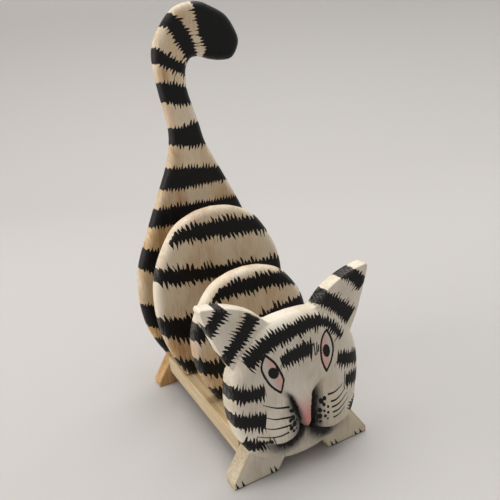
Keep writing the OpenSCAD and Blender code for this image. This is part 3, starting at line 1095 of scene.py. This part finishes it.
    def marks(self, points: np.ndarray) -> dict:
        """Returns the face's strokes, lines, eyes and soft shading."""
        return {**self.brushed(points), **self.drawn(points), **self.shaded(points)}

    def brushed(self, points: np.ndarray) -> dict:
        """Lays the toothed strokes.

        Args:
            points: the points to paint.

        Returns:
            How far each point lies inside the nearest stroke, and its place there.
        """
        count = len(points)
        ink, across, along = np.full(count, FAR), np.zeros(count), np.zeros(count)
        for number, (path, widths) in enumerate(self.strokes()):
            distance, at, before = along_stroke(points, path)
            half = np.interp(at / (at + before).max(), np.linspace(0, 1, len(widths)), widths)
            # The ends are steeper than the sides, so that teeth hardly reach past them
            value = np.minimum(half - np.abs(distance), 3 * before + 1.5)
            better = value > ink
            ink[better] = value[better]
            # Each stroke takes its teeth from a part of the pattern of its own
            across[better] = at[better] + 50 * number
            along[better] = distance[better] + 30 * number
        return {"ink": ink, "across": across, "along": along}

    def drawn(self, points: np.ndarray) -> dict:
        """Draws the thin lines, the dots and the eyes.

        Args:
            points: the points to paint.

        Returns:
            How far each point lies inside a line and inside an eye, and how pink it is.
        """
        count = len(points)
        line, eye, blush = np.full(count, FAR), np.full(count, FAR), np.zeros(count)
        for path, (first, last) in self.lines():
            distance, at, _ = to_segments(points, path, False)
            half = first + (last - first) * at / length_of(path)
            line = np.maximum(line, half - distance)
        for middle, radius in self.dots():
            line = np.maximum(line, radius - np.linalg.norm(points - middle, axis=1))
        for path, (x, z), (rx, rz), (side, start, slant) in self.eyes():
            depth = inside_by(points, path)
            eye = np.maximum(eye, depth)
            line = np.maximum(line, self.eye_line - np.abs(depth + 0.2))
            # Each pupil is drawn a little askew
            out = (points[:, 0] - x) / rx
            up = (points[:, 1] - z + 0.35 * (points[:, 0] - x)) / rz
            line = np.maximum(line, (1 - np.hypot(out, up)) * min(rx, rz))
            blush = np.where(depth > -3, (side * out + start + slant * up) * 1.6, blush)
        return {"line": line, "eye": eye, "blush": blush}

    def shaded(self, points: np.ndarray) -> dict:
        """Smokes black and painted shade into the grooves and under the pads, and paints the nose
        and the worn paws.

        Args:
            points: the points to paint.

        Returns:
            How black, how pink and how bare each point is.
        """
        x, z = points[:, 0], points[:, 1]
        smoke_and_shade = np.zeros(len(points))
        # Smoke and painted shade darken the grooves: beside the nose the black fades in from
        # above, and under the pads it fades out
        for (path, _, _), dark_side, fade, beside_nose in zip(
                self.grooves(), (1, -1, -1, 1), (7, 6, 8, 8), (True, True, False, False)):
            distance, at, side = to_segments(points, path, False)
            shaded = np.exp(-(distance / np.where(side * dark_side < 0, fade, 1.6)) ** 1.3)
            if beside_nose:
                shaded *= smooth_step(at, -2, 15)
            else:
                shaded *= 1 - 0.75 * smooth_step(at, 12, length_of(path))
            smoke_and_shade = np.maximum(smoke_and_shade, shaded)
        # The chin under the pads is darkened, partly with smudges and partly with painted shade,
        # and the nose's ridge is kept clean
        chin = 0.32 * swell(points, -2, 27, 34, 17) * (z < 36)
        smoke_and_shade = np.maximum(1 - (1 - smoke_and_shade) ** 1.9, chin)
        past, tip = np.abs(x) - self.nose_half(z), z + 0.35 * x
        on_ridge = (1 - smooth_step(past, 0, 1.2)) * smooth_step(tip, 35.6, 37)
        smoke_and_shade *= 1 - on_ridge
        nose = on_ridge * (1 - 0.85 * smooth_step(z, 44, 64)) * (1 - smooth_step(z, 58, 74))
        paw = (1 - smooth_step(inside_by(points, self.face()), -1.5, 0.5)) * (z < 45)
        edge = 1 - smooth_step(inside_by(points, self.outline()), 0, 2)
        return {"smoke_and_shade": smoke_and_shade, "nose": nose, "bare": paw * (0.15 + 0.55 * edge)}

    def back_marks(self, count: int) -> dict:
        """Returns a back that has stripes but no face."""
        none, clear = np.full(count, FAR), np.zeros(count)
        return {"line": none, "eye": none, "smoke_and_shade": clear, "nose": clear}


@dataclass
class BasePlank:
    """The bare plank that joins the head board to the tail board."""

    node: str = "base_plank"
    finish: BareWood = BareWood()

    def dress(self) -> None:
        """Gives the CAD plank its wood."""
        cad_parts[self.node].material_slots[0].material = self.finish.material()


@dataclass
class Fasteners:
    """Dowels in the ends of the plank, and screws up into the panels."""

    dowels: tuple = ("front_dowel_left", "front_dowel_right", "rear_dowel_left",
                     "rear_dowel_right")
    screws: tuple = ("front_panel_screw_left", "front_panel_screw_right",
                     "middle_panel_screw_left", "middle_panel_screw_right")

    def dress(self) -> None:
        """Gives the CAD dowels and screws their wood and steel."""
        for names, material in ((self.dowels, TurnedWood().material()),
                                (self.screws, ScrewSteel().material())):
            for name in names:
                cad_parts[name].material_slots[0].material = material


# ---- Studio -----------------------------------------------------------------


@dataclass
class Studio:
    """Pale seamless paper, soft lamps and the camera."""

    camera_at: tuple = (-180.36, -390.30, 288.10)
    azimuth: float = -0.461406
    elevation: float = 0.300770
    roll: float = -0.095541
    focal_px: float = 519.9
    paper: str = "#BFBCB9"
    paper_far: str = "#BBB8B5"
    beyond: str = "#CFCCC9"
    # In metres: half the paper's width and its near end, the turn upwards, and its top
    paper_w: float = 6.0
    turn_y: float = 1.1
    turn_r: float = 0.6
    paper_top: float = 3.0

    def seen(self, tree: Tree) -> Socket:
        """Tells rays that show a surface from rays that only carry its light.

        Args:
            tree: the node tree.

        Returns:
            1 where the camera, a reflection or clear glass sees the surface, or else 0.
        """
        seen = 0.0
        for ray in ("Is Camera Ray", "Is Glossy Ray", "Is Transmission Ray"):
            seen = add(tree, "Math", (seen, add(tree, "LightPath", out=ray)),
                       operation="MAXIMUM")
        return seen

    def sweep(self) -> None:
        """Makes the paper: flat under the cat, and curved up behind it."""
        profile = [(-self.paper_w, 0.0)]
        for degrees in np.linspace(0, 90, 13):
            turn = math.radians(degrees)
            profile.append((self.turn_y + self.turn_r * math.sin(turn),
                            self.turn_r - self.turn_r * math.cos(turn)))
        profile.append((self.turn_y + self.turn_r, self.paper_top))
        turn = Matrix.Rotation(self.azimuth, 3, "Z")
        points = []
        for y, z in profile:
            points += [turn @ Vector((x, y, z)) for x in (-self.paper_w, self.paper_w)]
        faces = [(2 * k, 2 * k + 1, 2 * k + 3, 2 * k + 2) for k in range(len(profile) - 1)]
        mesh = bpy.data.meshes.new("paper_sweep")
        mesh.from_pydata(points, [], faces)
        mesh.shade_smooth()
        mat, tree, shader = new_material("seamless_paper_matt")
        # Its clouding is over a metre wide, far too faint and broad to read as a pattern
        tone = streaks(tree, add(tree, "TexCoord", out="Object"), (1250, 1250, 1250), 1.0)
        colour = add(tree, "Mix", {0: tone, 6: linear(self.paper), 7: linear(self.paper_far)},
                     **COLOURS)
        feed(tree, shader, {"Base Color": colour, "Roughness": 0.9})
        # Past the lamps' reach the paper looks as pale as it does near the cat
        far = add(tree, "VectorMath", (add(tree, "TexCoord", out="Object"),), "Value",
                  operation="LENGTH")
        past = add(tree, "MapRange", (far, 1.9, 3.4, 0.0, 1.0), **SMOOTH)
        shown = add(tree, "Math", (past, self.seen(tree)), operation="MULTIPLY")
        pale = add(tree, "Emission", (linear(self.beyond), 1.0))
        mixed = add(tree, "MixShader", (shown, shader.outputs[0], pale))
        feed(tree, tree.nodes["Material Output"], {"Surface": mixed})
        mesh.materials.append(mat)
        piece = bpy.data.objects.new("paper_sweep", mesh)
        bpy.context.scene.collection.objects.link(piece)

    def lamp(self, name: str, at: tuple, size: float, watts: float, colour: str) -> None:
        """Adds a square soft lamp that is turned to the middle of the cat.

        Args:
            name: the lamp's name.
            at: its place, in metres.
            size: its side, in metres.
            watts: its power.
            colour: its colour.
        """
        data = bpy.data.lights.new(name, "AREA")
        data.size = size
        data.energy = watts
        data.color = linear(colour)[:3]
        lamp = bpy.data.objects.new(name, data)
        lamp.location = at
        toward = Vector((0, 0, 0.12)) - Vector(at)
        lamp.rotation_euler = toward.to_track_quat("-Z", "Y").to_euler()
        bpy.context.scene.collection.objects.link(lamp)

    def camera(self) -> None:
        """Sets the camera at the photograph's place and angle."""
        a, e, r = self.azimuth, self.elevation, self.roll
        back = Vector((math.sin(a) * math.cos(e), -math.cos(a) * math.cos(e), math.sin(e)))
        right = Vector((math.cos(a), math.sin(a), 0))
        up = back.cross(right)
        turned = right * math.cos(r) + up * math.sin(r)
        upward = up * math.cos(r) - right * math.sin(r)
        data = bpy.data.cameras.new("camera")
        data.sensor_width = 36
        data.lens = self.focal_px / 500 * 36
        data.clip_start = 0.01
        camera = bpy.data.objects.new("camera", data)
        place = Matrix((turned, upward, back)).transposed().to_4x4()
        place.translation = Vector(self.camera_at) * MM
        camera.matrix_world = place
        bpy.context.scene.collection.objects.link(camera)
        bpy.context.scene.camera = camera

    def world(self) -> None:
        """Sets an even soft light all round, which looks pale where it is seen."""
        world = bpy.data.worlds.new("studio")
        world.use_nodes = True
        tree = world.node_tree
        light = add(tree, "Background", (linear("#E6E6E8"), 0.46))
        pale = add(tree, "Background", (linear(self.beyond), 1.0))
        mixed = add(tree, "MixShader", (self.seen(tree), light, pale))
        feed(tree, tree.nodes["World Output"], {"Surface": mixed})
        bpy.context.scene.world = world

    def build(self) -> None:
        """Builds the set."""
        self.camera()
        self.sweep()
        self.lamp("key_above_behind", (0.3, 0.45, 3.0), 2.4, 80, "#FFFEFC")
        self.lamp("side_left", (-1.9, 0.4, 0.8), 1.4, 21, "#FFFCF8")
        self.lamp("side_right", (1.9, 0.1, 0.9), 1.4, 4, "#FBFCFF")
        self.world()
        bpy.context.scene.view_settings.view_transform = "Standard"


# ---- Stripes ----------------------------------------------------------------

FRONT_STRIPES = [
    [[-60, 131], [-36, 133.5], [-22, 136.5], [-12, 138], [0, 138], [12, 137.5],
     [22, 136.5], [32, 134.5], [40, 130.5], [48, 121], [60, 110], [60, 104], [44, 118],
     [30, 121.5], [14, 123.6], [0, 124], [-14, 124], [-24, 124], [-36, 122], [-60, 120]],
    [[-70, 112], [-20, 102], [4, 101], [27, 105], [53, 109], [70, 112],
     [70, 97], [53, 94], [0, 86], [-30, 88], [-70, 97]],
    [[-70, 80], [-53, 77], [-40, 71], [0, 68], [40, 71], [70, 80],
     [70, 67], [42, 57], [0, 54], [-42, 57], [-55, 64], [-70, 66]],
    [[-70, 50], [-48, 47], [-39, 45], [0, 44], [39, 45], [70, 50],
     [70, 33], [36, 31], [0, 32], [-36, 31], [-46, 33], [-70, 34]],
]
MIDDLE_STRIPES = [
    [[-70, 166], [-43, 173], [-16, 177], [14, 176], [40, 172], [70, 160],
     [70, 150], [51, 156], [-18, 162], [-53, 163], [-70, 158]],
    [[-80, 145], [-63, 144], [-21, 136], [58, 128], [80, 126],
     [80, 110], [58, 113], [-8, 121], [-48, 125], [-67, 132], [-80, 134]],
    [[-80, 99], [-68, 97], [-37, 91], [0, 88], [60, 90], [80, 94],
     [80, 74], [60, 70], [0, 66], [-41, 68], [-64, 78], [-80, 81]],
    [[-80, 58], [-60, 54], [-41, 47], [0, 45], [60, 54], [80, 58],
     [80, 46], [54, 45], [0, 32], [-45, 33], [-54, 45], [-80, 50]],
]
TAIL_STRIPES = [
    [[21, 372], [24, 352], [25, 340], [30, 330], [29, 310], [80, 310], [80, 376]],
    [[-10, 370], [-3, 360], [8, 352], [16, 339], [21, 321], [21, 310], [11, 308], [11, 318],
     [2, 335], [-4, 346], [-13, 351], [-24, 356]],
    [[-34, 336], [-23, 332], [-10, 324], [9, 313], [16, 306], [13, 299], [7, 305], [-9, 312],
     [-25, 320], [-34, 323]],
    [[-34, 301], [-23, 300], [-4, 298], [8, 292], [20, 288], [20, 278], [8, 280], [-2, 279],
     [-21, 285], [-34, 288]],
    [[-34, 256], [-17, 258], [0, 259], [15, 262], [35, 264], [35, 241], [23, 241], [3, 240],
     [-18, 245], [-34, 248]],
    [[-55, 222], [-25, 222], [0, 220], [32, 216], [55, 214], [60, 203], [38, 203], [-13, 202],
     [-34, 204], [-60, 206]],
    [[-75, 183], [-43, 184], [-15, 185], [45, 183], [80, 182], [80, 167], [45, 167],
     [-23, 168], [-49, 170], [-80, 172]],
    [[-85, 152], [-61, 150], [-44, 145], [0, 143], [44, 145], [85, 152], [85, 134], [66, 131],
     [52, 126], [0, 125], [-52, 125], [-66, 133], [-85, 136]],
    [[-90, 96], [-70, 94], [-57, 91], [0, 88], [57, 91], [90, 96], [90, 74], [65, 71],
     [56, 66], [0, 65], [-56, 66], [-65, 71], [-90, 74]],
    [[-80, 60], [-59, 54], [-40, 50], [40, 50], [59, 54], [80, 60], [64, 38], [50, 37],
     [0, 36], [-50, 37], [-64, 38]],
]


def main() -> None:
    """Builds the studio and every piece of the rack, in order."""
    logging.basicConfig(level=logging.INFO, format="%(name)s: %(message)s")
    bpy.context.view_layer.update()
    Studio().build()
    log.info("studio: paper, lamps and camera")
    body = BrushedPaint("poster_paint_brushed_body")
    tail = BrushedPaint("poster_paint_brushed_tail", thin_share=0.7, tooth_mm=4.8,
                        tooth_pitch_mm=3.1, dry_share=0.12)
    boards = [
        HeadBoard("front_board", FacePaint(), "face_paint"),
        BodyPanel("front_panel", body, "striped_paint", stripes=FRONT_STRIPES,
                  short_above=117.0, short_by=4.0),
        BodyPanel("middle_panel", body, "striped_paint", stripes=MIDDLE_STRIPES),
        TailBoard("rear_board", tail, "striped_paint", stripes=TAIL_STRIPES),
    ]
    for board in boards:
        piece = board.build()
        log.info("%s: %d faces", piece.name, len(piece.data.polygons))
    BasePlank().dress()
    log.info("base_plank: bare wood")
    Fasteners().dress()
    log.info("fasteners: 4 dowels and 4 screws")


if __name__ == "__main__":
    main()
